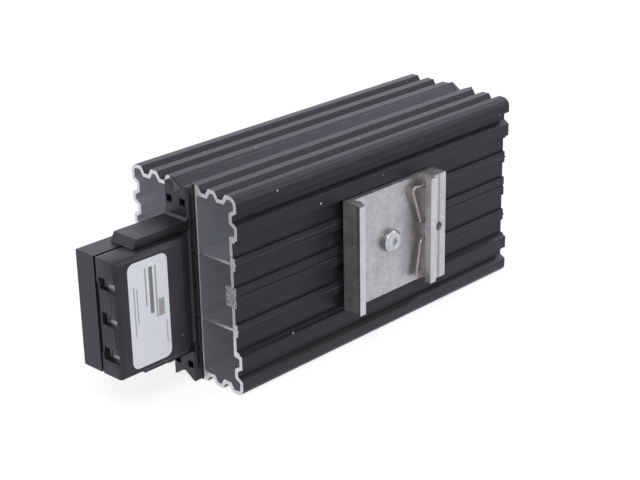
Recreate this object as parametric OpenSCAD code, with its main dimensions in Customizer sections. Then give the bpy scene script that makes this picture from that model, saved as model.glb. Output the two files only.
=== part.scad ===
// Enclosure heater for a 35 mm mounting rail: a ridged aluminium profile with six air channels, a heating
// stack pressed into its middle chamber, a terminal head on one end and a rail clip on one broad side.
// X runs along the profile from the head to the rear cap, Y across its narrow side with the clip at -Y,
// Z up. The origin is under the middle of the whole part. All sizes are millimetres.

/* [Profile] */
// Length of the extrusion
profile_l = 140; // [122:1:220]
// Width of the extrusion across its narrow side
profile_w = 50; // [47:1:64]
// Height of the extrusion
profile_h = 70; // [67:1:96]
// Thickness of the outer walls
wall = 1.3; // [1:0.1:1.6]
// Radius of the two round corners
round_corner = 3; // [2:0.25:4]
// Radius of the two tight corners
tight_corner = 2.5; // [1:0.1:3]
// Least radius of the air channels' corners
channel_corner = 0.2; // [0.1:0.05:0.5]
// Spacing of the grooves in the outer walls
groove_pitch = 7.8; // [7:0.05:8.5]
// Width of a groove's floor
groove_floor = 2; // [1.6:0.1:2.8]
// Run of a groove's sloping flank
groove_flank = 1.35; // [0.8:0.05:1.6]
// Depth of a groove
groove_depth = 2.2; // [1.2:0.1:2.4]
// Width of the fold groove over the middle chamber
fold_w = 8.8; // [6:0.1:9.4]
// Width of the fold groove's floor
fold_floor = 0.8; // [0.4:0.1:1.4]
// Depth of the fold groove
fold_depth = 2.5; // [1.5:0.1:2.8]
// Thickness of the middle chamber's walls
chamber_wall = 2; // [1.4:0.1:2.6]
// Radius in the corners between those walls and the narrow walls
fillet_r = 1.2; // [0.6:0.1:1.6]
// Thickness of the webs between the air channels
web_t = 0.95; // [0.7:0.05:1.4]
// Distance between the upper and the lower web
web_gap = 23.4; // [20:0.2:26]

/* [Clip seat on the profile] */
// Depth of the recess that takes the rail clip
recess_depth = 2.4; // [2.2:0.1:2.8]
// Depth of the step that guides the clip's ends
step_depth = 1.2; // [1.1:0.05:1.4]
// Slope of the recess edge
step_run = 0.5; // [0.2:0.05:0.8]
// Width of the ledge behind the step
ledge_w = 0.9; // [0.5:0.1:1.4]
// Width of the ridge between the recess and the next groove
edge_ridge = 4.5; // [3.5:0.1:5]
// Width of a rib in the recess
rib_w = 4.4; // [3:0.1:6]
// Height of the ribs and of the screw block over the recess floor
rib_h = 0.9; // [0.6:0.05:1]
// Height of the tooth on each rib
tooth_h = 0.55; // [0.3:0.05:0.6]
// Width of the tooth at its foot
tooth_w = 1.2; // [0.8:0.1:2]
// Width of the screw block
block_w = 7.2; // [6.4:0.1:9]
// Thickness of the screw block
block_t = 4.9; // [4:0.1:7]
// Depth of the drill guide groove in the screw block
guide_depth = 0.5; // [0.3:0.05:0.7]

/* [Heating stack] */
// Length of a heating tablet
tablet_l = 24; // [16:0.5:27]
// Height of a heating tablet
tablet_h = 30; // [20:0.5:31]
// Thickness of a heating tablet
tablet_t = 2.4; // [1.8:0.1:2.8]
// Distance between heating tablets
tablet_gap = 2; // [0.5:0.1:2.5]
// Height of the contact plates
contact_h = 32; // [31:0.5:33]
// Thickness of a contact plate
contact_t = 3.1; // [2.8:0.1:3.4]
// How far the contact plates reach past the tablets
contact_over = 3; // [2:0.1:3.5]
// Thickness of an insulating film
film_t = 0.3; // [0.1:0.05:0.5]
// How far the films reach past the contact plates
film_over = 1; // [0.5:0.1:1.5]
// Depth of the wire bores in the contact plates
lead_bore = 5; // [3:0.5:8]
// Height of the live wire's bore over the middle
lead_rise = 4; // [2:0.5:6]

/* [Head base and rear cap] */
// Width of the plates that close the middle chamber
plate_w = 11.2; // [10.8:0.1:13]
// Thickness of the head's plate
plate_t = 3.1; // [2:0.1:4]
// Thickness of the rear cap's plate
cap_t = 2.6; // [1.6:0.1:4]
// How far the plates stay short of the profile's top and bottom
plate_inset = 0.2; // [0.1:0.1:1]
// Cut off each corner of the plates
plate_bevel = 0.5; // [0.3:0.1:1.1]
// Chamfer along the plates' outer upright edges
plate_chamfer = 0.7; // [0.3:0.1:1]
// Depth of the notch in each end of the plates
notch_depth = 2.6; // [1.6:0.1:2.9]
// Diameter of the dimples in the near side of the head's plate
dimple_d = 1; // [0.6:0.1:1.4]
// Depth of those dimples
dimple_depth = 0.4; // [0.2:0.1:0.6]
// Spacing of those dimples
dimple_pitch = 11.5; // [10:0.1:13]
// Width of a latch window in the head's plate
latch_w = 2.7; // [1.8:0.1:3]
// Height of a latch window
latch_h = 2.5; // [1.6:0.1:2.8]
// Distance between the latch windows of one pair
latch_gap = 6.3; // [5:0.1:6.7]
// Distance of the latch windows from the plate's end
latch_drop = 5.8; // [4.6:0.1:6.2]
// Width of the two arms over the terminal housing
arm_w = 10.8; // [8:0.1:11]
// Thickness of an arm
arm_t = 3; // [2:0.1:3.2]
// Length of an arm
arm_l = 23; // [16:0.2:28]
// Length of the bevel at an arm's end
arm_bevel = 1.7; // [0.8:0.1:2.4]
// Chamfer in the corner between an arm and the plate
arm_root = 0.8; // [0.3:0.1:1.2]
// Room round the wires, above and below, in the window of the head's plate
window_room = 1.7; // [0.5:0.1:2]
// Wall of the plugs that reach into the middle chamber
plug_wall = 1; // [0.6:0.1:1.2]
// How far the plugs stay short of the profile's top and bottom
plug_inset = 8; // [6:0.5:9]
// Depth of the head's plug
head_plug = 2.2; // [1.4:0.1:2.6]
// Depth of the rear cap's plug
cap_plug = 2.6; // [1.4:0.1:3]

/* [Terminal housing] */
// Length of the housing from the head's plate
head_l = 33.9; // [30:0.1:44]
// Width of the housing
head_w = 19.5; // [18:0.1:24]
// Height of the housing
head_h = 40.2; // [39:0.1:46]
// Length of the taper next to the head's plate
taper_l = 6.9; // [4:0.1:9]
// Wall of the housing
shell_wall = 1.6; // [1.2:0.1:1.8]
// Thickness of the housing's end wall
end_wall = 2.4; // [1.8:0.1:3]
// Width of the seam between the two shells
seam_w = 1; // [0.6:0.1:1.4]
// Depth of the seam
seam_depth = 0.8; // [0.5:0.1:1]
// Radius of the far shell's outer edges
far_edge_r = 1; // [0.5:0.1:1.5]
// Radius of the near shell's upright edge
near_edge_r = 2; // [1:0.1:2.4]
// Radius of the near shell's top edge
near_top_r = 2; // [1:0.1:2.6]

/* [Terminals] */
// Height of a wire entry
entry_h = 4.2; // [3.6:0.1:5]
// Width of a wire entry
entry_w = 7.4; // [6.5:0.1:7.5]
// Width of the high part of a wire entry
entry_high_w = 4.3; // [3:0.1:5]
// Height of the low part of a wire entry
entry_low_h = 3.1; // [2:0.1:3.4]
// Wall between the seam and a wire entry
entry_wall = 0.8; // [0.5:0.1:1]
// Spacing of the wire entries
entry_pitch = 12.1; // [10:0.1:12.4]
// How far the row of entries sits below the housing's middle
entry_drop = 0.5; // [0:0.1:1]
// Depth of the shallow field between the entries
field_depth = 0.4; // [0.2:0.1:0.8]
// Width of that field
field_w = 5.8; // [3:0.1:6.4]
// Length of a clamp cage
clamp_l = 12; // [9:0.1:14]
// Height of a clamp cage
clamp_h = 6; // [5:0.1:7]
// Sheet thickness of a clamp cage
clamp_t = 0.8; // [0.5:0.1:1]
// Thickness of the ribs between the clamps
divider_t = 1.6; // [1:0.1:2]
// Width of a leaf spring
leaf_w = 4.3; // [3:0.1:5]
// Thickness of a leaf spring's strip
leaf_t = 0.5; // [0.3:0.05:0.8]
// Depth of a bent leaf spring
leaf_d = 2; // [1.6:0.1:3]
// Diameter of an inner wire
lead_d = 1.6; // [1:0.1:2]
// Thickness of the earth tab
tab_t = 0.8; // [0.5:0.1:1]
// Length of the earth tab
tab_l = 11; // [8:0.5:14]
// Height of the earth tab
tab_h = 6; // [4:0.5:7]
// Distance of the earth tab below the insulating film
tab_drop = 1; // [0.5:0.1:2]
// Distance of the earth tab from the head's plug
tab_away = 4; // [3:0.5:6]

/* [Label] */
// Width of the label
label_w = 16; // [10:0.5:18]
// Height of the label
label_h = 36.2; // [20:0.1:36.2]
// Radius of the label's corners
label_r = 2.5; // [1:0.1:4]
// Thickness of the label
label_t = 0.15; // [0.1:0.05:0.3]
// Distance of the label from the housing's end
label_from_end = 4.6; // [3:0.1:6]

/* [Rail clip] */
// Length of the clip along the rail
clip_l = 40; // [36:0.5:42]
// Thickness of the clip's plate
clip_t = 2.95; // [2.5:0.05:4]
// Width of the rail
rail_w = 35; // [35:0.1:35.6]
// Room beside the rail when it is pushed against the springs
rail_play = 0.1; // [0.05:0.05:0.5]
// How far the rail's middle lies from the screw
rail_off = 0.45; // [0:0.05:1]
// Height of the slot under the fixed hook's nose
slot_h = 1.6; // [1.2:0.1:2]
// Depth of that slot
slot_depth = 0.5; // [0.3:0.1:2]
// Height of the nose's front edge
nose_h = 0.7; // [0.4:0.1:1.2]
// Lead-in slope from the nose to the hook's front
lead_in = 2.1; // [1:0.1:2.4]
// Height of the hooks over the clip's plate
hook_h = 6.4; // [6:0.1:8]
// Thickness of the fixed hook
hook_t = 3.5; // [2.5:0.1:4.5]
// How far the fixed hook's lip flares outwards
flare = 0.9; // [0.3:0.1:1.4]
// Height of that flare
flare_h = 2.3; // [1:0.1:3]
// Height of the groove under the spring bar's lip
groove_h = 3.8; // [3.4:0.1:4.2]
// How far the spring bar's lip overhangs
lip_over = 2.8; // [2:0.1:3.2]
// Width of that lip
lip_w = 2.9; // [2:0.1:3.4]
// How far the bar's main face lies behind the lip
lip_step = 1.6; // [1:0.1:1.9]
// Width of the spring bar behind the groove
bar_w = 7; // [6:0.1:9]
// Bevel on the clip's back edges
back_bevel = 0.9; // [0.4:0.1:1.2]
// Diameter of the hole in the spring bar
bar_hole_d = 3.2; // [2:0.1:4]
// Depth of the hole in the spring bar
bar_hole_depth = 4; // [2:0.1:5]
// Width of the marking groove along the spring bar
mark_w = 1.4; // [0.6:0.1:2]
// Depth of that groove
mark_depth = 0.5; // [0.2:0.05:0.6]

/* [Clip springs and screw] */
// Diameter of the spring wire
wire_d = 1.05; // [0.7:0.05:1.2]
// How far the upper spring reaches out of the bar
upper_reach = 8.2; // [6:0.1:9]
// How far the lower spring reaches out of the bar
lower_reach = 5.8; // [5:0.1:9]
// Height of a spring's inner end over the springs' middle
spring_in = 3.4; // [2:0.1:5]
// Height of a spring's outer end over the springs' middle
spring_out = 16.6; // [14:0.1:16.8]
// How far the springs' middle lies below the clip's middle
spring_drop = 0.8; // [0:0.1:1]
// Length of the wire in the bar
wire_in = 2.6; // [1.5:0.1:4]
// Radius of a spring's bends
bend_r = 1.4; // [1:0.1:1.6]
// How far a spring's outer bend lies over its outer end
spring_rise = 1.4; // [0.6:0.1:2]
// Diameter of the mouth round a spring's end
mouth_d = 2.4; // [1.8:0.1:3]
// Depth of that mouth
mouth_depth = 0.8; // [0.3:0.1:1.2]
// Diameter of the screw's head
screw_head_d = 8.2; // [6:0.1:8.5]
// Height of the screw's head
screw_head_h = 2.6; // [1.8:0.1:3.2]
// Bevel round the screw's head
screw_crown = 0.8; // [0.3:0.1:1]
// Diameter of the screw's shank
screw_d = 4; // [3:0.1:4.5]
// Diameter of the screw's drive recess
drive_d = 3.2; // [2:0.1:3.6]
// Diameter of a lobe of the drive recess
lobe_d = 0.8; // [0.5:0.05:1]
// Depth of the screw's drive recess
drive_depth = 1; // [0.6:0.1:1.5]

/* [Fits] */
// Clearance between pieces that slide together
slide_gap = 0.1; // [0.05:0.05:0.2]
// Clearance of the arms over the housing
arm_gap = 0.2; // [0.1:0.05:0.4]
// Clearance of the screw in the clip
screw_gap = 0.25; // [0.1:0.05:0.4]
// Clearance of the inner wires beside the window of the head's plate
lead_gap = 0.25; // [0.1:0.05:0.3]

/* [Hidden] */
$fn = 48;
ARC_STEPS = 6;
BEND_STEPS = 8;
TUBE_SIDES = 14;
OVER = 1;
ENTRY_COUNT = 3;
TABLET_COUNT = 4;
DIMPLE_COUNT = 5;
DRIVE_LOBES = 6;

// Places along X
end_x = -profile_l / 2;
plate_x = end_x - plate_t;
head_x = plate_x - head_l;
taper_x = plate_x - taper_l;
clamp_x = head_x + end_wall;
clamp_back = clamp_x + clamp_l;
arm_x = plate_x - arm_l;

// Profile section
groove_half = groove_floor / 2 + groove_flank;
ridge_w = groove_pitch - 2 * groove_half;
fold_half = fold_w / 2;
first_groove = fold_half + ridge_w + groove_half;
chamber_w = tablet_t + 2 * (contact_t + film_t);
chamber_outer = chamber_w / 2 + chamber_wall;
recess_half = clip_l / 2 + slide_gap;
edge_groove = recess_half + step_run + edge_ridge + groove_half;
plug_h = profile_h - 2 * plug_inset;
ceiling = profile_h / 2 - groove_depth - wall;
clip_level = recess_depth - rib_h - tooth_h;
block_level = recess_depth - rib_h;

// Heights of the clip over the profile's broad side
clip_face = clip_t - clip_level;
hook_face = clip_face + hook_h;
bar_face = hook_face - lip_step;
wire_level = clip_face + groove_h / 2;

// Places of the clip along X
rail_room = rail_w + rail_play;
nose_x = rail_off - rail_room / 2;
slot_x = nose_x - slot_depth;
hook_x = slot_x - hook_t;
root_x = nose_x + rail_room;
lip_x = root_x - lip_over;
bar_x = root_x + bar_w;
bar_mid = (lip_x + lip_w + bar_x) / 2;

// Housing and terminals
plate_front = plate_w / 2 - plate_chamfer;
shell_in = head_w / 2 - shell_wall;
clamp_w = shell_in - seam_w / 2 - slide_gap;
clamp_y = -shell_in + clamp_w / 2;
arm_z = head_h / 2 + arm_gap;
lead_hole = lead_d + 2 * slide_gap;
contact_y = tablet_t / 2 + contact_t / 2;
contact_l = TABLET_COUNT * (tablet_l + tablet_gap) - tablet_gap + 2 * contact_over;
contact_x = -contact_l / 2;
film_low = -contact_h / 2 - film_over;
tab_x = end_x + head_plug + tab_away;
tab_z = film_low - tab_drop - tab_h / 2;
earth_y = -chamber_w / 2 + tab_t + lead_d / 2 + slide_gap;
earth_z = film_low + lead_d;
window_w = 2 * (contact_y + lead_d / 2 + lead_gap);
window_top = lead_rise + lead_d / 2 + window_room;
window_low = earth_z - lead_d / 2 - window_room;

// The part's middle, taken to the origin
mid_x = (head_x + profile_l / 2 + cap_t) / 2;
mid_y = -hook_face / 2;

ANODISED = [0.2, 0.2, 0.22];
BARE = [0.7, 0.7, 0.72];
PLASTIC = [0.2, 0.19, 0.2];
STEEL = [0.75, 0.74, 0.7];
PAPER = [0.86, 0.87, 0.9];
CERAMIC = [0.45, 0.42, 0.4];
FILM = [0.75, 0.5, 0.15];
BRASS = [0.8, 0.65, 0.3];

// Shared shapes

// Moves a piece from the profile's middle to the part's own frame.
module placed() {
    translate([-mid_x, -mid_y, profile_h / 2])
        children();
}

// Extrudes an outline in Y and Z along X.
module along_x(from, length) {
    translate([from, 0, 0])
        rotate([90, 0, 90])
            linear_extrude(length)
                children();
}

// Extrudes an outline in X and Y along Z, about the middle.
module along_z(length) {
    linear_extrude(length, center = true)
        children();
}

// A cylinder along Y.
module rod_y(d, from, length) {
    translate([0, from, 0])
        rotate([-90, 0, 0])
            cylinder(d = d, h = length);
}

// A cylinder along X.
module rod_x(d, from, length) {
    translate([from, 0, 0])
        rotate([0, 90, 0])
            cylinder(d = d, h = length);
}

// A box from one corner to the opposite one.
module block(low, high) {
    translate(low)
        cube(high - low);
}

// Points of an arc about a centre.
function arc(centre, r, from, to) =
    [for (i = [0 : ARC_STEPS]) let (a = from + (to - from) * i / ARC_STEPS) centre + r * [cos(a), sin(a)]];

function flipped(list) = [for (i = [len(list) - 1 : -1 : 0]) list[i]];

function unit(v) = v / norm(v);

// Points of a path with each inner corner rounded to a radius.
function rounded(path, r) = concat(
    [path[0]],
    [for (i = [1 : len(path) - 2])
        let (to_back = unit(path[i - 1] - path[i]), to_next = unit(path[i + 1] - path[i]),
            half = acos(to_back * to_next) / 2, inward = unit(to_back + to_next),
            onward = unit(to_next - to_back), centre = path[i] + inward * r / sin(half))
        for (k = [0 : BEND_STEPS])
            let (a = (90 - half) * (2 * k / BEND_STEPS - 1))
            centre + r * (sin(a) * onward - cos(a) * inward)],
    [path[len(path) - 1]]);

// Direction of a path at one of its points.
function heading(path, i) =
    let (back = max(i - 1, 0), next = min(i + 1, len(path) - 1))
    unit((i > back ? unit(path[i] - path[back]) : [0, 0, 0])
        + (next > i ? unit(path[next] - path[i]) : [0, 0, 0]));

// Points of a ring round a path; aside is a direction that the path never takes.
function ring(path, i, r, aside) =
    let (t = heading(path, i), b = unit(cross(t, aside)), c = cross(b, t))
    [for (k = [0 : TUBE_SIDES - 1]) let (a = 360 * k / TUBE_SIDES) path[i] + r * (cos(a) * b + sin(a) * c)];

// A round wire with flat ends, swept along a path.
module wire(path, d, aside) {
    n = TUBE_SIDES;
    last = len(path) - 1;
    sides = [for (i = [0 : last - 1], k = [0 : n - 1])
        let (a = i * n + k, b = i * n + (k + 1) % n)
        each [[a, b, b + n], [a, b + n, a + n]]];
    ends = [[for (k = [n - 1 : -1 : 0]) k], [for (k = [0 : n - 1]) last * n + k]];
    polyhedron([for (i = [0 : last]) each ring(path, i, d / 2, aside)], concat(sides, ends));
}

// Heat profile

// Slip of a sloping flank's corners when the outline moves in by a skin.
function slip(run, depth, skin) = skin * tan(atan2(depth, run) / 2);

// One groove as pairs of place and level, at a skin's distance inside the wall's outer side.
function groove(at, floor_w, run, depth, skin) =
    let (s = slip(run, depth, skin), h = floor_w / 2)
    [[at - h - run - s, -skin], [at - h - s, -depth - skin],
     [at + h + s, -depth - skin], [at + h + run + s, -skin]];

function wall_groove(at, skin) = groove(at, groove_floor, groove_flank, groove_depth, skin);

// Grooves of the narrow walls: the fold groove with even grooves on both sides.
narrow_count = 1 + floor((profile_w / 2 - round_corner - groove_half - first_groove) / groove_pitch);
function narrow_run(skin) = concat(
    [for (i = [narrow_count - 1 : -1 : 0]) each wall_groove(-first_groove - i * groove_pitch, skin)],
    groove(0, fold_floor, fold_half - fold_floor / 2, fold_depth, skin),
    [for (i = [0 : narrow_count - 1]) each wall_groove(first_groove + i * groove_pitch, skin)]);

// Grooves of the broad far wall, even all the way.
far_count = floor((profile_h / 2 - round_corner - groove_half) / groove_pitch + 0.5);
function far_run(skin) =
    [for (i = [-far_count : far_count - 1]) each wall_groove((i + 0.5) * groove_pitch, skin)];

// Half of the recess for the clip, from its middle to its edge.
function recess_edge(skin) =
    let (s = slip(step_run, recess_depth, skin), inner = recess_half - ledge_w)
    skin > 0
        ? [[recess_half + s, -recess_depth - skin], [recess_half + step_run + s, -skin]]
        : [[inner, -recess_depth], [inner + step_run / 2, -step_depth],
           [recess_half, -step_depth], [recess_half + step_run, 0]];

function mirrored(run) = [for (p = flipped(run)) [-p[0], p[1]]];

// A rib with a tooth that carries the clip, where a web meets the wall.
function seat_rib(at) = [
    [at - rib_w / 2, -recess_depth], [at - rib_w / 2, -block_level], [at - tooth_w / 2, -block_level],
    [at, -clip_level],
    [at + tooth_w / 2, -block_level], [at + rib_w / 2, -block_level], [at + rib_w / 2, -recess_depth]];

// The outer side of the screw block, with its drill guide groove.
screw_seat = [
    [-block_w / 2, -recess_depth], [-block_w / 2, -block_level], [-guide_depth, -block_level],
    [0, -block_level - guide_depth],
    [guide_depth, -block_level], [block_w / 2, -block_level], [block_w / 2, -recess_depth]];

// The broad near wall: the clip's recess, with as many grooves beside it as there is room for.
near_count = 1 + floor((profile_h / 2 - round_corner - groove_half - edge_groove) / groove_pitch);
function near_half(skin) = concat(
    recess_edge(skin),
    [for (i = [0 : 1 : near_count - 1]) each wall_groove(edge_groove + i * groove_pitch, skin)]);
function near_run(skin) = concat(
    mirrored(near_half(skin)),
    skin > 0 ? [] : concat(seat_rib(-web_gap / 2), screw_seat, seat_rib(web_gap / 2)),
    near_half(skin));

// A corner of the outline, at a skin's distance inside the outer side.
function corner(side, up, r, from, skin) =
    let (inner = max(r - skin, channel_corner), reach = skin + inner)
    arc([side * (profile_w / 2 - reach), up * (profile_h / 2 - reach)], inner, from, from + 90);

function outline(skin) = concat(
    corner(-1, -1, tight_corner, 180, skin),
    [for (p = narrow_run(skin)) [p[0], -profile_h / 2 - p[1]]],
    corner(1, -1, round_corner, 270, skin),
    [for (p = far_run(skin)) [profile_w / 2 + p[1], p[0]]],
    corner(1, 1, tight_corner, 0, skin),
    [for (p = flipped(narrow_run(skin))) [p[0], profile_h / 2 + p[1]]],
    corner(-1, 1, round_corner, 90, skin),
    [for (p = flipped(near_run(skin))) [-profile_w / 2 - p[1], p[0]]]);

// Rounding in the corner between the middle chamber's far wall and the ceiling of the channel beside it.
fillet = concat(
    [[chamber_outer - fillet_r, ceiling - fillet_r], [chamber_outer - fillet_r, ceiling + fillet_r],
     [chamber_outer + fillet_r, ceiling + fillet_r]],
    arc([chamber_outer + fillet_r, ceiling - fillet_r], fillet_r, 90, 180));

// What stands inside the outer walls: the middle chamber's walls with solid metal beside the fold grooves,
// the webs and the screw block.
module inner_walls() {
    for (side = [-1, 1])
        translate([side * (chamber_w + chamber_wall) / 2, 0])
            square([chamber_wall, profile_h], center = true);
    for (side = [-1, 1], up = [-1, 1]) {
        translate([side * (chamber_w / 2 + first_groove) / 2, up * (profile_h / 2 + ceiling) / 2])
            square([first_groove - chamber_w / 2, profile_h / 2 - ceiling], center = true);
        polygon([for (p = fillet) [side * p[0], up * p[1]]]);
    }
    for (side = [-1, 1], up = [-1, 1])
        translate([side * (chamber_outer - chamber_wall / 2 + profile_w / 2) / 2, up * web_gap / 2])
            square([profile_w / 2 - chamber_outer + chamber_wall / 2, web_t], center = true);
    translate([-profile_w / 2, -block_w / 2])
        square([block_level + block_t, block_w]);
}

module profile_section() {
    difference() {
        polygon(outline(0));
        difference() {
            polygon(outline(wall));
            inner_walls();
        }
    }
}

module heat_profile() {
    color(ANODISED)
        placed()
            difference() {
                along_x(end_x, profile_l)
                    profile_section();
                rod_y(screw_d + 2 * slide_gap, -profile_w / 2, block_level + block_t + OVER);
            }
}

// Head base and rear cap

// Outline of the plates that close the middle chamber, notched over the fold grooves.
module plate_outline() {
    h = profile_h / 2 - plate_inset;
    w = plate_w / 2;
    b = plate_bevel;
    side = [[w, h - b], [w - b, h], [fold_half, h], [fold_floor / 2, h - notch_depth]];
    top = concat(side, [for (p = flipped(side)) [-p[0], p[1]]]);
    polygon(concat(top, [for (p = flipped(top)) [p[0], -p[1]]]));
}

// A plate on the profile's end, which lies at x = 0, with its outer upright edges chamfered.
module end_plate(t) {
    w = plate_w / 2;
    intersection() {
        along_x(0, t)
            plate_outline();
        along_z(profile_h)
            polygon([[0, -w], [t - plate_chamfer, -w], [t, -plate_front],
                [t, plate_front], [t - plate_chamfer, w], [0, w]]);
    }
}

// A hollow plug that centres a plate in the middle chamber.
module chamber_plug() {
    w = chamber_w - 2 * slide_gap;
    difference() {
        square([w, plug_h], center = true);
        square([w - 2 * plug_wall, plug_h - 2 * plug_wall], center = true);
    }
}

// An arm with its bevelled end and the chamfer at its root.
module arm() {
    translate([0, arm_w / 2, arm_z])
        rotate([90, 0, 0])
            linear_extrude(arm_w)
                polygon([[arm_x, 0], [arm_x + arm_bevel, arm_t], [plate_x - arm_root, arm_t],
                    [plate_x, arm_t + arm_root], [plate_x + OVER, arm_t + arm_root], [plate_x + OVER, 0]]);
}

module head_base() {
    latch_z = profile_h / 2 - plate_inset - latch_drop;
    color(PLASTIC)
        placed()
            difference() {
                union() {
                    translate([end_x, 0, 0])
                        mirror([1, 0, 0])
                            end_plate(plate_t);
                    along_x(end_x, head_plug)
                        chamber_plug();
                    arm();
                    mirror([0, 0, 1])
                        arm();
                }
                for (side = [-1, 1], up = [-1, 1])
                    translate([plate_x + plate_t / 2, side * latch_gap / 2, up * latch_z])
                        cube([plate_t + 2 * OVER, latch_w, latch_h], center = true);
                for (i = [1 : DIMPLE_COUNT])
                    translate([end_x - (plate_t - plate_chamfer) / 2, 0,
                        (i - (DIMPLE_COUNT + 1) / 2) * dimple_pitch])
                        rod_y(dimple_d, -plate_w / 2 - OVER, dimple_depth + OVER);
                block([plate_x - OVER, -window_w / 2, window_low],
                    [end_x + head_plug + OVER, window_w / 2, window_top]);
            }
}

module rear_cap() {
    color(PLASTIC)
        placed() {
            translate([profile_l / 2, 0, 0])
                end_plate(cap_t);
            along_x(profile_l / 2 - cap_plug, cap_plug)
                chamber_plug();
        }
}

// Terminal housing

// Plan of the far half of the housing, from the seam outwards.
module shell_plan(edge_r) {
    polygon(concat(
        [[head_x, seam_w / 2]],
        arc([head_x + edge_r, head_w / 2 - edge_r], edge_r, 180, 90),
        [[taper_x, head_w / 2], [plate_x, plate_front], [plate_x, seam_w / 2]]));
}

// Section of the far half of the housing across X.
module shell_section(top_r, bottom_r) {
    polygon(concat(
        [[seam_w / 2, -head_h / 2]],
        arc([head_w / 2 - bottom_r, -head_h / 2 + bottom_r], bottom_r, -90, 0),
        arc([head_w / 2 - top_r, head_h / 2 - top_r], top_r, 0, 90),
        [[seam_w / 2, head_h / 2]]));
}

module shell(edge_r, top_r, bottom_r) {
    difference() {
        intersection() {
            along_z(head_h)
                shell_plan(edge_r);
            along_x(head_x, head_l)
                shell_section(top_r, bottom_r);
        }
        along_z(head_h - 2 * shell_wall)
            polygon([[clamp_x, 0], [clamp_x, shell_in], [taper_x, shell_in],
                [plate_x + OVER, plate_front - shell_wall], [plate_x + OVER, 0]]);
    }
}

// The lip that closes the seam from inside; it starts in the far shell's wall.
module seam_lip() {
    h = head_h / 2;
    difference() {
        block([head_x + seam_depth, -seam_w / 2, -h + seam_depth], [plate_x, seam_w, h - seam_depth]);
        block([clamp_x, -seam_w, -h + shell_wall], [plate_x + OVER, 2 * seam_w, h - shell_wall]);
    }
}

module head_far_shell() {
    color(PLASTIC)
        placed() {
            shell(far_edge_r, far_edge_r, far_edge_r);
            seam_lip();
        }
}

function entry_z(i) = (1 - i) * entry_pitch - entry_drop;

// A wire entry through the end wall, low beside the near face and high beside the seam.
module entry() {
    from = seam_w / 2 + entry_wall;
    low = [head_x - OVER, -from, -entry_h / 2];
    deep = end_wall + OVER + OVER / 2;
    block(low - [0, entry_high_w, 0], low + [deep, 0, entry_h]);
    block(low - [0, entry_w, 0], low + [deep, 0, entry_low_h]);
}

module head_near_shell() {
    field_h = (ENTRY_COUNT - 1) * entry_pitch;
    color(PLASTIC)
        placed()
            difference() {
                union() {
                    mirror([0, 1, 0])
                        shell(near_edge_r, near_top_r, far_edge_r);
                    for (i = [0 : ENTRY_COUNT - 2])
                        translate([0, 0, entry_z(i) - entry_pitch / 2])
                            block([clamp_x - end_wall / 2, -shell_in - shell_wall / 2, -divider_t / 2],
                                [clamp_back, -seam_w / 2, divider_t / 2]);
                }
                for (i = [0 : ENTRY_COUNT - 1])
                    translate([0, 0, entry_z(i)])
                        entry();
                translate([head_x, 0, entry_z(1)])
                    block([-OVER, -seam_w / 2 - field_w, -field_h / 2], [field_depth, 0, field_h / 2]);
            }
}

// Terminals

// A clamp cage: a folded metal box, open to the wire entry, with a hole for its inner wire.
module clamp(i) {
    color(STEEL)
        placed()
            translate([clamp_x, clamp_y, entry_z(i)])
                difference() {
                    translate([clamp_l / 2, 0, 0])
                        cube([clamp_l, clamp_w, clamp_h], center = true);
                    block([-OVER, clamp_t - clamp_w / 2, clamp_t - clamp_h / 2],
                        [clamp_l - clamp_t, clamp_w / 2 - clamp_t, clamp_h / 2 - clamp_t]);
                    rod_x(lead_hole, clamp_l - clamp_t - OVER, clamp_t + 2 * OVER);
                }
}

// A strip with its upper end round.
module round_strip(d, low, high) {
    translate([-d / 2, low])
        square([d, high - d / 2 - low]);
    translate([0, high - d / 2])
        circle(d = d);
}

// A leaf spring bent over into a hairpin, its flat front leg just behind the near side of the wire entry.
module leaf_spring(i) {
    h = clamp_h / 2 - clamp_t - slide_gap;
    color(STEEL)
        placed()
            translate([clamp_x + slide_gap + leaf_d / 2, clamp_t + slide_gap - shell_in, entry_z(i)])
                mirror([0, 1, 0])
                    rotate([90, 0, 0])
                        linear_extrude(leaf_w)
                            difference() {
                                round_strip(leaf_d, -h, h);
                                round_strip(leaf_d - 2 * leaf_t, -h - OVER, h - leaf_t);
                            }
}

module clamp_top() { clamp(0); }
module clamp_middle() { clamp(1); }
module clamp_bottom() { clamp(2); }
module spring_top() { leaf_spring(0); }
module spring_middle() { leaf_spring(1); }
module spring_bottom() { leaf_spring(2); }

module type_label() {
    x = head_x + label_from_end;
    color(PAPER)
        placed()
            translate([x + label_w / 2, -head_w / 2 - label_t, 0])
                rotate([-90, 0, 0])
                    linear_extrude(label_t) {
                        square([label_w - 2 * label_r, label_h], center = true);
                        square([label_w, label_h - 2 * label_r], center = true);
                        for (side = [-1, 1], up = [-1, 1])
                            translate([side * (label_w / 2 - label_r), up * (label_h / 2 - label_r)])
                                circle(r = label_r);
                    }
}

// Inner wires, from the clamps through the window to the stack.
function lead_start(i) = [
    [clamp_back - clamp_t - slide_gap, clamp_y, entry_z(i)],
    [clamp_back + 2 * lead_d, clamp_y, entry_z(i)]];

module lead(i, y, z) {
    path = concat(lead_start(i), [[taper_x, y, z], [contact_x + lead_bore - slide_gap, y, z]]);
    color("white")
        placed()
            wire(rounded(path, lead_d), lead_d, [0, 0, 1]);
}

module lead_live() { lead(0, contact_y, lead_rise); }
module lead_neutral() { lead(1, -contact_y, 0); }

module lead_earth() {
    path = concat(lead_start(2), [
        [taper_x, -contact_y, earth_z], [end_x + head_plug, -contact_y, earth_z],
        [tab_x + lead_d, earth_y, tab_z], [tab_x + tab_l, earth_y, tab_z]]);
    color("yellowgreen")
        placed()
            wire(rounded(path, lead_d), lead_d, [0, 1, 0]);
}

module earth_tab() {
    color(BRASS)
        placed()
            translate([tab_x, -chamber_w / 2, tab_z - tab_h / 2])
                cube([tab_l, tab_t, tab_h]);
}

// Heating stack

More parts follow.
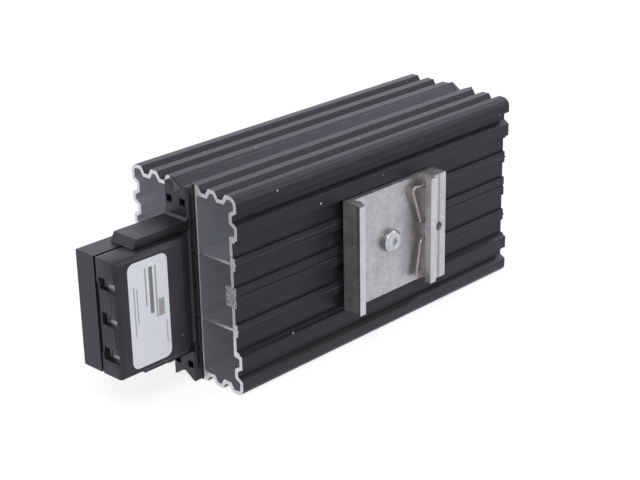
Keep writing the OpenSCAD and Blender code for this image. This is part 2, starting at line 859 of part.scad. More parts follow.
function tablet_x(i) = contact_x + contact_over + tablet_l / 2 + i * (tablet_l + tablet_gap);

module ptc(i) {
    color(CERAMIC)
        placed()
            translate([tablet_x(i), 0, 0])
                cube([tablet_l, tablet_t, tablet_h], center = true);
}

module ptc_1() { ptc(0); }
module ptc_2() { ptc(1); }
module ptc_3() { ptc(2); }
module ptc_4() { ptc(3); }

module contact(side, z) {
    color(BARE)
        placed()
            translate([0, side * contact_y, 0])
                difference() {
                    cube([contact_l, contact_t, contact_h], center = true);
                    translate([0, 0, z])
                        rod_x(lead_hole, contact_x - OVER, lead_bore + OVER);
                }
}

module contact_far() { contact(1, lead_rise); }
module contact_near() { contact(-1, 0); }

module film(side) {
    color(FILM)
        placed()
            translate([0, side * (chamber_w - film_t) / 2, 0])
                cube([contact_l + 2 * film_over, film_t, contact_h + 2 * film_over], center = true);
}

module film_far() { film(1); }
module film_near() { film(-1); }

// Rail clip

// The clip's profile in X and height over the profile's broad side.
module clip_outline() {
    back = -clip_level;
    nose_low = clip_face + slot_h;
    nose_top = nose_low + nose_h;
    lip_low = clip_face + groove_h;
    polygon([
        [hook_x + back_bevel, back], [hook_x, back + back_bevel], [hook_x, hook_face - flare_h],
        [hook_x - flare, hook_face], [nose_x - lead_in, hook_face], [nose_x, nose_top], [nose_x, nose_low],
        [slot_x, nose_low], [slot_x, clip_face], [root_x, clip_face], [root_x, lip_low], [lip_x, lip_low],
        [lip_x, hook_face], [lip_x + lip_w, hook_face], [lip_x + lip_w, bar_face],
        [bar_mid - mark_w / 2, bar_face], [bar_mid, bar_face - mark_depth], [bar_mid + mark_w / 2, bar_face],
        [bar_x, bar_face], [bar_x, back + 2 * back_bevel], [bar_x - back_bevel, back]]);
}

// Height of a spring's end over the clip's middle.
function spring_z(up, reach) = up * reach - spring_drop;

module din_clip() {
    color(BARE)
        placed()
            difference() {
                translate([0, -profile_w / 2, 0])
                    along_z(clip_l)
                        mirror([0, 1, 0])
                            clip_outline();
                rod_y(screw_d + 2 * screw_gap, -profile_w / 2 - clip_face - OVER, clip_t + 2 * OVER);
                translate([bar_mid, 0, 0])
                    rod_y(bar_hole_d, -profile_w / 2 - bar_face - OVER, bar_hole_depth + OVER);
                for (up = [-1, 1], reach = [spring_in, spring_out])
                    translate([0, -profile_w / 2 - wire_level, spring_z(up, reach)]) {
                        rod_x(wire_d + 2 * slide_gap, root_x - OVER, wire_in + OVER + slide_gap);
                        rod_x(mouth_d, root_x - OVER, mouth_depth + OVER);
                    }
            }
}

// A wire spring: out of the bar, round a tight bend and back on a slant.
module clip_spring(up, reach) {
    y = -profile_w / 2 - wire_level;
    plan = [[wire_in, spring_out], [-wire_d, spring_out], [-reach, spring_out + spring_rise],
        [-3 * wire_d, spring_in], [wire_in, spring_in]];
    path = [for (p = plan) [root_x + p[0], y, spring_z(up, p[1])]];
    color(STEEL)
        placed()
            wire(rounded(path, bend_r), wire_d, [0, 1, 0]);
}

module clip_spring_upper() { clip_spring(1, upper_reach); }
module clip_spring_lower() { clip_spring(-1, lower_reach); }

// The screw: a low round head with a six-lobed drive, its shank in the profile's block.
module clip_screw() {
    face = -profile_w / 2 - clip_face;
    top = face - screw_head_h;
    core_d = drive_d - lobe_d;
    color(STEEL)
        placed()
            difference() {
                union() {
                    rod_y(screw_head_d, top + screw_crown, screw_head_h - screw_crown);
                    translate([0, top, 0])
                        rotate([-90, 0, 0])
                            cylinder(d1 = screw_head_d - 2 * screw_crown, d2 = screw_head_d, h = screw_crown);
                    rod_y(screw_d, face - screw_crown, clip_face + block_level + block_t + screw_crown);
                }
                translate([0, top - OVER, 0])
                    rotate([-90, 0, 0])
                        linear_extrude(drive_depth + OVER) {
                            circle(d = core_d);
                            for (i = [1 : DRIVE_LOBES])
                                rotate(i * 360 / DRIVE_LOBES)
                                    translate([core_d / 2, 0])
                                        circle(d = lobe_d);
                        }
            }
}

heat_profile();
head_base();
head_far_shell();
head_near_shell();
clamp_top();
clamp_middle();
clamp_bottom();
spring_top();
spring_middle();
spring_bottom();
type_label();
din_clip();
clip_screw();
clip_spring_upper();
clip_spring_lower();
ptc_1();
ptc_2();
ptc_3();
ptc_4();
contact_near();
contact_far();
film_near();
film_far();
lead_live();
lead_neutral();
lead_earth();
earth_tab();
rear_cap();
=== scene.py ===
"""Looks of the enclosure heater: materials, edges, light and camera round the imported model."""
import math

import bpy
from mathutils import Matrix, Vector


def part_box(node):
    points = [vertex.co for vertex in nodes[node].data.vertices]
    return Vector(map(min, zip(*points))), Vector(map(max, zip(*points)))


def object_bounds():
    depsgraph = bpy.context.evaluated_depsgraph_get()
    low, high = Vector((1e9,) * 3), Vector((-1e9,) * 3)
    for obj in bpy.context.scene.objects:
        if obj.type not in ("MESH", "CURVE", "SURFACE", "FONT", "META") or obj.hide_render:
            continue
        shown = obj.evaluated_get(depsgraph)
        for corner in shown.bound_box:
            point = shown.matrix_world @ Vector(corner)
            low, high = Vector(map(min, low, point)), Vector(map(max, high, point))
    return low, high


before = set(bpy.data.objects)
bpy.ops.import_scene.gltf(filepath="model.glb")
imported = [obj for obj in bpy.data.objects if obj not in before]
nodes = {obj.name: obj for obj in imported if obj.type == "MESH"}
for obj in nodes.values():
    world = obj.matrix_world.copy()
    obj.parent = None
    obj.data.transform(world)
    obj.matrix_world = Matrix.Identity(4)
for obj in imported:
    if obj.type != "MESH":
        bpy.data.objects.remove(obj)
cad_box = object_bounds()
scene = bpy.context.scene

MM = 0.001
# The photograph's size, and its camera: focal length and place of the optical axis in pixels,
# turn, tilt and roll in degrees, and millimetres from the profile's middle to the right, up and back
WIDTH, HEIGHT = 640, 480
FOCAL_PX = 1600.07
AXIS_PX = (419.78, 263.15)
CAMERA_ANGLES = (-49.594, 23.285, 0.473)
CAMERA_PLACE = (31.27, -15.25, 577.4)
# Nearest distance that the camera shows, in metres
CLIP_START = 0.01
# Values that count as the lowest and the highest of a noise
NOISE_RANGE = (0.3, 0.7)
# Grey fields on the label: left, right, top and bottom in millimetres from its upper left corner, and a grey
LABEL_FIELDS = (
    (6.6, 7.2, 3, 16, 0.3), (8.3, 9.8, 3, 19, 0.16), (10.7, 11.3, 3, 21, 0.3),
    (1.8, 2.3, 8, 25, 0.34), (3.0, 3.5, 9, 21, 0.34), (11.6, 14.0, 15, 21, 0.3), (14.4, 14.8, 23, 31, 0.34))
# Place of a worn dotted line on the upper fold, along Y and Z in millimetres
WORN_LINE = (7.35, 7.5)
WORN_HEIGHT = (66, 71)
# Heights in millimetres between which painted light, standing in for the floor's reflection, makes the
# profile paler towards the bottom
PAINTED_LOW_LIGHT = (4, 16)
# The room's bluish white in reflections
ROOM_TINT = (0.9, 0.915, 1, 1)
# Where the painted light on the upper and the far channels begins, along Z and Y in millimetres
UPPER_CHANNEL = (45, 48)
FAR_SIDE = (5, 9)
# Glow as painted light that evens out the light in the channels
CHANNEL_GLOW = 0.72
# Places on the sawn end in millimetres from the profile's middle: webs, screw block, and beside the plate a
# painted shade and painted light on the edge of the chamber's wall
WEB_REACH = (6.75, 18)
WEB_HEIGHT = 15
BLOCK_REACH = (15, 26)
BLOCK_HEIGHT = 3.7
PLATE_SHADE = (5.95, 6.2)
LIT_CHAMBER_EDGE = (5.9, 6.7)
# Places on the clip in millimetres: fronts of the hooks painted paler as painted light and bar front along
# Y, marking groove from the clip's middle with the widths of its painted shade
LIT_HOOK_FRONT = (-25.5, -29)
BAR_FRONT = (-26.6, -27)
MARK_PLACE = 20.15
MARK_SHADE = (0.2, 0.6)
# Shine of the plastic; width of the shallow lines between the wire entries, painted dark as their shade, and
# their places, in millimetres
PLASTIC_SHINE = 0.52
LINE_WIDTH = 0.3
FIELD_LINES = ((-2.5, 37, 43.5), (-3.6, 25.5, 32))
# The screw in millimetres: radius of its front face, width of the painted shade at its rim, and where the
# painted shade on the head's side begins
RIM_RADIUS = 3.3
RIM_WIDTH = 0.3
HEAD_SIDE = (3.85, 4.0)
# A face of the profile is sawn where its normal along X and its place along the half length are over these
SAWN_NORMAL = 0.99
SAWN_SHARE = 0.99
# How far off a face a ray starts that asks whether walls enclose the face, in millimetres
RAY_START = 0.2
# Points nearer than this are joined, in millimetres
WELD_GAP = 0.001
# Width of softened edges in millimetres, and their number of facets
EDGE_WIDTHS = {"head_base": 0.2, "head_far_shell": 0.2, "head_near_shell": 0.15, "rear_cap": 0.2,
               "din_clip": 0.15, "clip_screw": 0.15}
EDGE_FACETS = 2
# Edges sharper than this are softened, in degrees
EDGE_ANGLE = 40
# Facets that meet at less than this are shaded as one rounded face, in degrees
FACET_ANGLE = 26
# Floor: half its size in metres and its gap under the part in millimetres; its grey and glow to the camera,
# and the grey that other light bounces off
FLOOR_HALF = 4.0
FLOOR_GAP = 0.1
FLOOR_SHADE = 0.26
FLOOR_GLOW = 0.8
FLOOR_BOUNCE = 0.75
# Strength of the room's light on the part
WORLD_STRENGTH = 0.55
# Lamps: place, target and size in metres, power in watts and tint
LAMPS = {
    "key": ((-0.9, -0.7, 1.3), (0, 0, 0.03), 0.9, 14, (1, 1, 1)),
    "fill": ((1.0, -1.2, 0.7), (0, 0, 0.03), 1.0, 4, (1, 1, 1)),
    "back": ((1.1, 0.9, 0.6), (0, 0, 0.05), 1.0, 0.8, (0.85, 0.86, 1)),
    "over": ((1.0, -0.13, 1.0), (0, 0, 0.05), 0.8, 3, (0.9, 0.91, 1)),
    "left": ((-1.0, 1.05, 1.0), (-0.07, 0, 0.05), 0.7, 2.2, (0.92, 0.92, 1)),
}


def middle(piece):
    low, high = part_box(piece.name)
    return (low + high) / 2


def half_length(piece):
    low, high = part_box(piece.name)
    return (high.x - low.x) / 2


# Shader helpers

class Shader:
    """A node material with short calls for the nodes used here."""

    def __init__(self, name):
        self.material = bpy.data.materials.new(name)
        self.material.use_nodes = True
        self.tree = self.material.node_tree
        self.bsdf = self.tree.nodes["Principled BSDF"]
        self.place = self.node("ShaderNodeTexCoord").outputs["Object"]

    def node(self, kind, **settings):
        made = self.tree.nodes.new(kind)
        for key, value in settings.items():
            setattr(made, key, value)
        return made

    def feed(self, socket, value):
        if isinstance(value, bpy.types.NodeSocket):
            self.tree.links.new(value, socket)
        else:
            socket.default_value = value

    def stretched(self, scale):
        """Object coordinates in millimetres, scaled along each axis."""
        made = self.node("ShaderNodeVectorMath", operation="MULTIPLY")
        self.feed(made.inputs[0], self.place)
        made.inputs[1].default_value = [s / MM for s in scale]
        return made.outputs[0]

    def noise(self, scale, detail, rough=0.5):
        """Noise with a scale along each axis, per millimetre."""
        made = self.node("ShaderNodeTexNoise")
        self.feed(made.inputs["Vector"], self.stretched(scale))
        made.inputs["Scale"].default_value = 1.0
        made.inputs["Detail"].default_value = detail
        made.inputs["Roughness"].default_value = rough
        return made.outputs["Fac"]

    def math(self, operation, *values):
        made = self.node("ShaderNodeMath", operation=operation)
        for socket, value in zip(made.inputs, values):
            self.feed(socket, value)
        return made.outputs[0]

    def remap(self, value, low, high, to_low, to_high):
        """Turns the range from low to high into another one, and stays inside it."""
        made = self.node("ShaderNodeMapRange", clamp=True)
        self.feed(made.inputs["Value"], value)
        for name, number in (("From Min", low), ("From Max", high), ("To Min", to_low), ("To Max", to_high)):
            self.feed(made.inputs[name], number)
        return made.outputs["Result"]

    def mix(self, fac, a, b):
        """Mixes two colours."""
        made = self.node("ShaderNodeMix", data_type="RGBA")
        self.feed(made.inputs["Factor"], fac)
        self.feed(made.inputs["A"], a if isinstance(a, bpy.types.NodeSocket) else (*a, 1))
        self.feed(made.inputs["B"], b if isinstance(b, bpy.types.NodeSocket) else (*b, 1))
        return made.outputs["Result"]

    def axis(self, letter):
        """One object coordinate in millimetres."""
        split = self.node("ShaderNodeSeparateXYZ")
        self.feed(split.inputs[0], self.place)
        return self.math("MULTIPLY", split.outputs[letter], 1 / MM)

    def off_middle(self, name, letter, aside=0.0):
        """How far a point lies from the middle of a piece along one axis, in millimetres."""
        place = getattr(middle(nodes[name]), letter.lower()) / MM + aside
        return self.math("ABSOLUTE", self.math("SUBTRACT", self.axis(letter), place))

    def between(self, value, limits):
        """1 where a value lies between two limits, else 0."""
        low, high = limits
        return self.math("COMPARE", value, (low + high) / 2, (high - low) / 2)

    def bump(self, height, distance_mm, strength):
        made = self.node("ShaderNodeBump")
        made.inputs["Strength"].default_value = strength
        made.inputs["Distance"].default_value = distance_mm * MM
        self.feed(made.inputs["Height"], height)
        return made.outputs["Normal"]

    def specks(self, spacing_mm, radius_mm, share):
        """Small round specks in a share of the cells."""
        made = self.node("ShaderNodeTexVoronoi")
        self.feed(made.inputs["Vector"], self.stretched((1 / spacing_mm,) * 3))
        made.inputs["Scale"].default_value = 1.0
        split = self.node("ShaderNodeSeparateColor")
        self.feed(split.inputs[0], made.outputs["Color"])
        chosen = self.math("LESS_THAN", split.outputs[0], share)
        size = self.math("MULTIPLY", split.outputs[1], radius_mm / spacing_mm)
        return self.math("MULTIPLY", chosen, self.math("LESS_THAN", made.outputs["Distance"], size))

    def finish(self, **sockets):
        """Feeds the main shader's sockets, named with underscores for spaces, and gives the material."""
        for name, value in sockets.items():
            self.feed(self.bsdf.inputs[name.replace("_", " ")], value)
        return self.material


def grey(value):
    return (value, value, value)


# Materials

def anodised():
    """Black anodised finish with drawn streaks, clouds, specks, painted light that makes the low edge paler,
    and a worn dotted line.
    """
    s = Shader("anodised")
    streak = s.noise((0.015, 2.2, 2.2), 3)
    cloud = s.noise((0.03, 0.09, 0.09), 3)
    black = s.mix(s.remap(streak, *NOISE_RANGE, 0, 1), (0.011, 0.0106, 0.013), (0.0155, 0.015, 0.018))
    black = s.mix(s.remap(cloud, 0.35, 0.7, 0, 0.5), black, (0.0175, 0.017, 0.021))
    # Painted light: the low edge is painted paler, standing in for the floor's reflection
    black = s.mix(s.remap(s.axis("Z"), *PAINTED_LOW_LIGHT, 0.6, 0), black, (0.032, 0.03, 0.03))
    black = s.mix(s.specks(5, 0.45, 0.35), black, grey(0.5))
    dots = s.remap(s.noise((0.9, 0.01, 0.01), 2, 0.6), 0.45, 0.6, 0, 0.6)
    worn = s.math("MULTIPLY", s.between(s.axis("Y"), WORN_LINE), s.between(s.axis("Z"), WORN_HEIGHT))
    black = s.mix(s.math("MULTIPLY", worn, dots), black, (0.16, 0.16, 0.17))
    return s.finish(Base_Color=black, Roughness=s.remap(streak, *NOISE_RANGE, 0.28, 0.38),
                    Specular_IOR_Level=0.26, Specular_Tint=(0.89, 0.885, 1, 1),
                    Normal=s.bump(streak, 0.02, 0.6))


def sawn():
    """Sawn end of the profile: bright walls, darker webs, a rough screw block, painted shade at the plate
    and painted light on the chamber wall's edge.
    """
    s = Shader("sawn_end")
    saw = s.noise((1, 6, 0.5), 3)
    grit = s.noise((1.4, 1.4, 1.4), 3, 0.7)
    across = s.off_middle("heat_profile", "Y")
    height = s.off_middle("heat_profile", "Z")
    base = s.mix(s.remap(saw, *NOISE_RANGE, 0, 1), grey(0.62), grey(0.82))
    base = s.mix(s.remap(grit, 0.55, 0.65, 0, 0.6), base, grey(0.35))
    web = s.between(across, WEB_REACH), s.between(height, (0, WEB_HEIGHT))
    # Darker webs, most of all next to the plate
    darker_web = s.math("MULTIPLY", s.math("MULTIPLY", *web), s.remap(across, *WEB_REACH, 0.8, 0.15))
    base = s.mix(darker_web, base, s.mix(s.remap(grit, 0.4, 0.6, 0, 1), grey(0.06), grey(0.4)))
    block = s.math("MULTIPLY", s.between(across, BLOCK_REACH), s.between(height, (0, BLOCK_HEIGHT)))
    base = s.mix(block, base, s.mix(s.remap(grit, 0.42, 0.56, 0, 1), grey(0.2), grey(0.7)))
    # Painted light: the edge of the chamber's wall beside the plate is painted bright
    base = s.mix(s.between(across, LIT_CHAMBER_EDGE), base, grey(0.95))
    # Painted shade on the wall next to the plate
    base = s.mix(s.remap(across, *PLATE_SHADE, 0.9, 0), base, grey(0.02))
    return s.finish(Base_Color=base, Metallic=0.6, Roughness=s.remap(saw, *NOISE_RANGE, 0.34, 0.46),
                    Normal=s.bump(saw, 0.08, 0.6))


def inside():
    """Bare inside of the channels, with painted light: paler on the far side and towards the top, and a
    little glow.
    """
    s = Shader("channel_inside")
    streak = s.noise((0.012, 1.6, 1.6), 3)
    cloud = s.noise((0.05, 0.2, 0.2), 3)
    # Painted light makes the upper and the far channels paler
    upper_painted_light = s.remap(s.axis("Z"), *UPPER_CHANNEL, 0, 1)
    base = s.mix(upper_painted_light, (0.077, 0.08, 0.092), (0.101, 0.106, 0.122))
    base = s.mix(s.remap(s.axis("Y"), *FAR_SIDE, 0, 1), base, (0.135, 0.139, 0.159))
    base = s.mix(s.remap(streak, *NOISE_RANGE, 0, 0.12), base, (0.19, 0.195, 0.22))
    base = s.mix(s.remap(cloud, 0.35, 0.7, 0, 0.12), base, (0.04, 0.042, 0.05))
    # The glow is painted light
    return s.finish(Base_Color=s.mix(0.6, base, grey(0.01)),
                    Roughness=s.remap(streak, *NOISE_RANGE, 0.55, 0.65), Specular_IOR_Level=0.2,
                    Emission_Color=base, Emission_Strength=CHANNEL_GLOW, Normal=s.bump(streak, 0.02, 0.4))


def plastic(name, lines=()):
    """Moulded black plastic with a fine grain, and painted shade in shallow lines given by a Y and two Z."""
    s = Shader(name)
    grain = s.noise((5, 5, 5), 3, 0.6)
    cloud = s.noise((0.12, 0.12, 0.12), 3)
    base = s.mix(s.remap(cloud, *NOISE_RANGE, 0, 1), (0.006, 0.005, 0.0056), (0.0095, 0.0082, 0.0091))
    base = s.mix(s.specks(5, 0.3, 0.2), base, grey(0.3))
    shine = PLASTIC_SHINE
    for place, low, high in lines:
        along = s.between(s.axis("Y"), (place - LINE_WIDTH / 2, place + LINE_WIDTH / 2))
        groove = s.math("MULTIPLY", along, s.between(s.axis("Z"), (low, high)))
        # Painted shade: the shallow line is painted dark and loses its shine
        base = s.mix(groove, base, grey(0.002))
        shine = s.math("MULTIPLY", shine, s.remap(groove, 0, 1, 1, 0.2))
    return s.finish(Base_Color=base, Roughness=s.remap(grain, *NOISE_RANGE, 0.3, 0.4),
                    Specular_IOR_Level=shine, Specular_Tint=(0.95, 0.9, 1, 1),
                    Normal=s.bump(grain, 0.03, 0.5))


def bare_aluminium():
    """Plain extruded aluminium, mottled and speckled, with painted light on the fronts of the hooks and
    painted shade in the marking groove.
    """
    s = Shader("bare_aluminium")
    streak = s.noise((2.5, 2.5, 0.04), 3)
    cloud = s.noise((0.22, 0.22, 0.18), 4, 0.65)
    pits = s.noise((0.9, 0.9, 0.8), 3, 0.7)
    base = s.mix(s.remap(streak, *NOISE_RANGE, 0, 1), (0.41, 0.393, 0.39), (0.51, 0.489, 0.486))
    base = s.mix(s.remap(cloud, 0.35, 0.65, 0, 0.8), base, (0.60, 0.573, 0.571))
    base = s.mix(s.remap(pits, 0.47, 0.3, 0, 0.45), base, (0.25, 0.238, 0.236))
    base = s.mix(s.specks(1.1, 0.34, 0.4), base, (0.8, 0.77, 0.765))
    # Painted light: the fronts of the hooks are painted paler
    base = s.mix(s.remap(s.axis("Y"), *LIT_HOOK_FRONT, 0, 0.35), base, grey(0.8))
    # Painted shade in the marking groove on the bar's front
    groove = s.remap(s.off_middle("din_clip", "X", MARK_PLACE), *MARK_SHADE, 0.5, 0)
    base = s.mix(s.math("MULTIPLY", groove, s.remap(s.axis("Y"), *BAR_FRONT, 0, 1)), base, grey(0.12))
    return s.finish(Base_Color=base, Metallic=0.92, Roughness=s.remap(cloud, *NOISE_RANGE, 0.34, 0.44),
                    Normal=s.bump(s.math("ADD", streak, pits), 0.03, 0.5))


def screw_steel():
    """Plated steel with painted shade at the rim of the front and round the side of the head."""
    s = Shader("screw_steel")
    cloud = s.noise((0.7, 0.7, 0.7), 3, 0.6)
    aside, height = s.off_middle("clip_screw", "X"), s.off_middle("clip_screw", "Z")
    radius = s.math("SQRT", s.math("ADD", s.math("POWER", aside, 2.0), s.math("POWER", height, 2.0)))
    base = s.mix(s.remap(cloud, *NOISE_RANGE, 0, 1), (0.5, 0.515, 0.515), (0.7, 0.715, 0.715))
    # Painted shade at the rim of the front and on the head's side
    off_rim = s.math("ABSOLUTE", s.math("SUBTRACT", radius, RIM_RADIUS))
    base = s.mix(s.remap(off_rim, 0, RIM_WIDTH, 0.5, 0), base, grey(0.2))
    base = s.mix(s.remap(radius, *HEAD_SIDE, 0, 1), base, (0.25, 0.257, 0.257))
    return s.finish(Base_Color=base, Metallic=0.9, Roughness=s.remap(cloud, *NOISE_RANGE, 0.26, 0.36),
                    Normal=s.bump(cloud, 0.02, 0.4))


def steel(name, dark, light, rough, metallic=0.9, glow=0.0):
    """Plated or drawn steel, mottled between two colours, with a glow as painted light where one is given.
    """
    s = Shader(name)
    cloud = s.noise((0.7, 0.7, 0.7), 3, 0.6)
    fine = s.noise((6, 6, 6), 2)
    base = s.mix(s.remap(cloud, *NOISE_RANGE, 0, 1), dark, light)
    return s.finish(Base_Color=base, Metallic=metallic,
                    Roughness=s.remap(fine, *NOISE_RANGE, rough - 0.06, rough + 0.06),
                    Emission_Color=base, Emission_Strength=glow, Normal=s.bump(fine, 0.01, 0.4))


def label():
    """Coated paper with plain grey fields where a label has its print."""
    s = Shader("label")
    fibre = s.noise((1.5, 1.5, 1.5), 3)
    low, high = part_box("type_label")
    across = s.math("SUBTRACT", s.axis("X"), low.x / MM)
    down = s.math("SUBTRACT", high.z / MM, s.axis("Z"))
    base = s.mix(s.remap(fibre, *NOISE_RANGE, 0, 1), (0.635, 0.65, 0.715), (0.665, 0.688, 0.75))
    for left, right, top, bottom, shade in LABEL_FIELDS:
        field = s.math("MULTIPLY", s.between(across, (left, right)), s.between(down, (top, bottom)))
        base = s.mix(field, base, grey(shade))
    return s.finish(Base_Color=base, Roughness=s.remap(fibre, *NOISE_RANGE, 0.32, 0.4),
                    Normal=s.bump(fibre, 0.01, 0.3))


def plain(name, dark, light, rough, metallic=0.0):
    """A material for the pieces inside, with a little variation."""
    s = Shader(name)
    cloud = s.noise((0.6, 0.6, 0.6), 3)
    return s.finish(Base_Color=s.mix(s.remap(cloud, *NOISE_RANGE, 0, 1), dark, light), Metallic=metallic,
                    Roughness=s.remap(cloud, *NOISE_RANGE, rough - 0.05, rough + 0.05),
                    Normal=s.bump(cloud, 0.02, 0.3))


FINISHES = {
    anodised(): ["heat_profile"],
    plastic("black_plastic"): ["head_base", "head_far_shell", "rear_cap"],
    plastic("lined_plastic", FIELD_LINES): ["head_near_shell"],
    bare_aluminium(): ["din_clip", "contact_near", "contact_far"],
    screw_steel(): ["clip_screw"],
    steel("plated_steel", (0.42, 0.43, 0.43), (0.62, 0.63, 0.63), 0.3): [
        "clamp_top", "clamp_middle", "clamp_bottom"],
    steel("spring_steel", (0.3, 0.28, 0.235), (0.42, 0.39, 0.33), 0.42, 0.7): [
        "clip_spring_upper", "clip_spring_lower"],
    # The leaf springs glow as painted light
    steel("leaf_steel", (0.42, 0.42, 0.435), (0.58, 0.58, 0.595), 0.4, glow=0.22): [
        "spring_top", "spring_middle", "spring_bottom"],
    label(): ["type_label"],
    plain("tablet", (0.14, 0.12, 0.11), (0.2, 0.18, 0.17), 0.6): ["ptc_1", "ptc_2", "ptc_3", "ptc_4"],
    plain("film", (0.5, 0.22, 0.03), (0.6, 0.28, 0.04), 0.3): ["film_near", "film_far"],
    plain("wire", grey(0.7), grey(0.78), 0.4): ["lead_live", "lead_neutral"],
    plain("earth_wire", (0.3, 0.42, 0.04), (0.4, 0.5, 0.06), 0.4): ["lead_earth"],
    plain("brass", (0.55, 0.38, 0.13), (0.65, 0.46, 0.18), 0.35, 0.9): ["earth_tab"],
}
for material, names in FINISHES.items():
    for name in names:
        nodes[name].data.materials.clear()
        nodes[name].data.materials.append(material)


def finish_profile(piece):
    """Gives the sawn ends and the insides of the channels their own materials."""
    OUTER, END, INNER = range(3)
    piece.data.materials.append(sawn())
    piece.data.materials.append(inside())
    around = [Vector(d) for d in ((0, 1, 0), (0, -1, 0), (0, 0, 1), (0, 0, -1))]
    centre = middle(piece).x
    reach = SAWN_SHARE * half_length(piece)
    for face in piece.data.polygons:
        if abs(face.normal.x) > SAWN_NORMAL and abs(face.center.x - centre) > reach:
            face.material_index = END
            continue
        start = face.center + RAY_START * MM * face.normal
        enclosed = all(piece.ray_cast(start, way)[0] for way in around)
        face.material_index = INNER if enclosed else OUTER


finish_profile(nodes["heat_profile"])


def weld(name):
    """Joins a piece's facets at the points that they share."""
    nodes[name].modifiers.new("join", "WELD").merge_threshold = WELD_GAP * MM


def soften(name, width_mm):
    """Takes the sharpness off a piece's edges, as moulding, sawing or bending does."""
    edge = nodes[name].modifiers.new("edge", "BEVEL")
    edge.width = width_mm * MM
    edge.segments = EDGE_FACETS
    edge.limit_method = "ANGLE"
    edge.angle_limit = math.radians(EDGE_ANGLE)


def round_off(name):
    """Shades the facets of a piece's rounded forms as one smooth face."""
    piece = nodes[name]
    piece.data.shade_smooth()
    split = piece.modifiers.new("split", "EDGE_SPLIT")
    split.use_edge_sharp = False
    split.split_angle = math.radians(FACET_ANGLE)


for name, width_mm in EDGE_WIDTHS.items():
    weld(name)
    soften(name, width_mm)
for name in ("clip_spring_upper", "clip_spring_lower"):
    weld(name)
    nodes[name].data.shade_smooth()
weld("heat_profile")
for name in ("heat_profile", "head_near_shell"):
    round_off(name)


# Floor, light and camera

def lit_floor():
    """A floor that shows pale with a shadow to the camera, and in reflections as the room's bluish white."""
    material = bpy.data.materials.new("floor")
    material.use_nodes = True
    tree = material.node_tree
    tree.nodes.clear()
    add = tree.nodes.new("ShaderNodeAddShader")
    shown = tree.nodes.new("ShaderNodeBsdfDiffuse")
    shown.inputs["Color"].default_value = (*grey(FLOOR_SHADE), 1)
    glow = tree.nodes.new("ShaderNodeEmission")
    glow.inputs["Strength"].default_value = FLOOR_GLOW
    tree.links.new(shown.outputs[0], add.inputs[0])
    tree.links.new(glow.outputs[0], add.inputs[1])
    mirrored = tree.nodes.new("ShaderNodeEmission")
    mirrored.inputs["Color"].default_value = ROOM_TINT
    viewed = tree.nodes.new("ShaderNodeMixShader")
    path = tree.nodes.new("ShaderNodeLightPath")
    tree.links.new(path.outputs["Is Glossy Ray"], viewed.inputs[0])
    tree.links.new(add.outputs[0], viewed.inputs[1])
    tree.links.new(mirrored.outputs[0], viewed.inputs[2])
    lit = tree.nodes.new("ShaderNodeBsdfDiffuse")
    lit.inputs["Color"].default_value = (*grey(FLOOR_BOUNCE), 1)
    mix = tree.nodes.new("ShaderNodeMixShader")
    tree.links.new(seen(tree), mix.inputs[0])
    tree.links.new(lit.outputs[0], mix.inputs[1])
    tree.links.new(viewed.outputs[0], mix.inputs[2])
    out = tree.nodes.new("ShaderNodeOutputMaterial")
    tree.links.new(mix.outputs[0], out.inputs["Surface"])
    return material


def seen(tree):
    """1 for camera, glossy and transmission rays, else 0."""
    path = tree.nodes.new("ShaderNodeLightPath")
    first = tree.nodes.new("ShaderNodeMath")
    first.operation = "MAXIMUM"
    tree.links.new(path.outputs["Is Camera Ray"], first.inputs[0])
    tree.links.new(path.outputs["Is Glossy Ray"], first.inputs[1])
    both = tree.nodes.new("ShaderNodeMath")
    both.operation = "MAXIMUM"
    tree.links.new(first.outputs[0], both.inputs[0])
    tree.links.new(path.outputs["Is Transmission Ray"], both.inputs[1])
    return both.outputs[0]


def reflected(tree):
    """White, but the room's bluish white in reflections."""
    path = tree.nodes.new("ShaderNodeLightPath")
    mix = tree.nodes.new("ShaderNodeMix")
    mix.data_type = "RGBA"
    tree.links.new(path.outputs["Is Glossy Ray"], mix.inputs["Factor"])
    mix.inputs["A"].default_value = (1, 1, 1, 1)
    mix.inputs["B"].default_value = ROOM_TINT
    return mix.outputs["Result"]


def add_floor():
    mesh = bpy.data.meshes.new("floor")
    corners = [(FLOOR_HALF * x, FLOOR_HALF * y, 0) for x, y in ((-1, -1), (1, -1), (1, 1), (-1, 1))]
    mesh.from_pydata(corners, [], [(0, 1, 2, 3)])
    floor = bpy.data.objects.new("floor", mesh)
    floor.location.z = cad_box[0].z - FLOOR_GAP * MM
    scene.collection.objects.link(floor)
    mesh.materials.append(lit_floor())


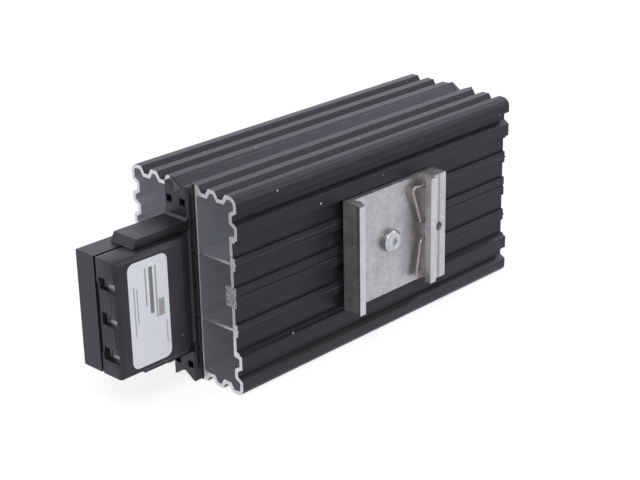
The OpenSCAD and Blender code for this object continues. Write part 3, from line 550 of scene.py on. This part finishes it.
def add_world(strength):
    """A room at full strength to the camera and in reflections, and at a set strength as light."""
    world = bpy.data.worlds.new("studio")
    scene.world = world
    world.use_nodes = True
    tree = world.node_tree
    background = tree.nodes["Background"]
    tree.links.new(reflected(tree), background.inputs["Color"])
    level = tree.nodes.new("ShaderNodeMapRange")
    tree.links.new(seen(tree), level.inputs["Value"])
    level.inputs["To Min"].default_value = strength
    level.inputs["To Max"].default_value = 1.0
    tree.links.new(level.outputs[0], background.inputs["Strength"])


def add_light(name, place, target, size, watts, tint):
    lamp = bpy.data.lights.new(name, "AREA")
    lamp.shape = "DISK"
    lamp.size = size
    lamp.energy = watts
    lamp.color = tint
    holder = bpy.data.objects.new(name, lamp)
    holder.location = place
    holder.rotation_euler = (Vector(target) - Vector(place)).to_track_quat("-Z", "Y").to_euler()
    scene.collection.objects.link(holder)


def add_camera():
    """The photograph's camera, fitted to the profile, with its axis off the picture's middle."""
    azimuth, elevation, roll = (math.radians(a) for a in CAMERA_ANGLES)
    back = Vector((math.sin(azimuth) * math.cos(elevation), -math.cos(azimuth) * math.cos(elevation),
                   math.sin(elevation)))
    level = Vector((0, 0, 1)).cross(back).normalized()
    above = back.cross(level)
    right = math.cos(roll) * level + math.sin(roll) * above
    up = math.cos(roll) * above - math.sin(roll) * level
    aside, raised, away = (MM * v for v in CAMERA_PLACE)
    data = bpy.data.cameras.new("camera")
    data.sensor_fit = "HORIZONTAL"
    data.lens = data.sensor_width * FOCAL_PX / WIDTH
    data.shift_x = (WIDTH / 2 - AXIS_PX[0]) / WIDTH
    data.shift_y = (AXIS_PX[1] - HEIGHT / 2) / WIDTH
    data.clip_start = CLIP_START
    camera = bpy.data.objects.new("camera", data)
    turn = Matrix((right, up, back)).transposed().to_4x4()
    place = middle(nodes["heat_profile"]) + aside * right + raised * up + away * back
    camera.matrix_world = Matrix.Translation(place) @ turn
    scene.collection.objects.link(camera)
    scene.camera = camera


add_floor()
add_world(WORLD_STRENGTH)
for name, settings in LAMPS.items():
    add_light(name, *settings)
add_camera()
scene.view_settings.view_transform = "Standard"
